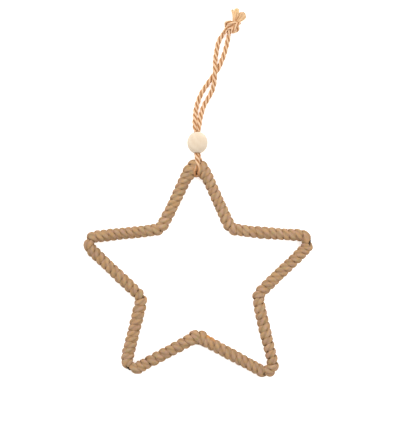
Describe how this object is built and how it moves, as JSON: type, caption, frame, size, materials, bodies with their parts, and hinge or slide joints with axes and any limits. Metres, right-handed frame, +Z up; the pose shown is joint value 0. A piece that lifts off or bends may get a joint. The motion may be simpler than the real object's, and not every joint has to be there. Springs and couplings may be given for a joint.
{
  "type": "rope-wrapped star ornament",
  "caption": "Open five-pointed star of wire wound with jute rope, with a wooden bead on a knotted twine hanging loop.",
  "frame": {"origin": "middle of the star's underside, on the surface that the ornament lies on", "axes": "+Z up off the surface, +Y towards the star's top point and the hanging loop, +X to the right seen from above"},
  "size_m": [0.2312, 0.3687, 0.0202],
  "materials": {
    "steel_wire": "dark annealed wire",
    "jute_rope": "three-ply twisted jute, kraft tan",
    "bead_wood": "turned, unfinished, pale cream",
    "twine": "twisted twine, light orange tan"
  },
  "bodies": {
    "root": {"wire_frame": "steel_wire", "rope_wrap": "jute_rope", "bead": "bead_wood", "hanging_twine": "twine", "twine_knot": "twine"}
  },
  "joints": []
}
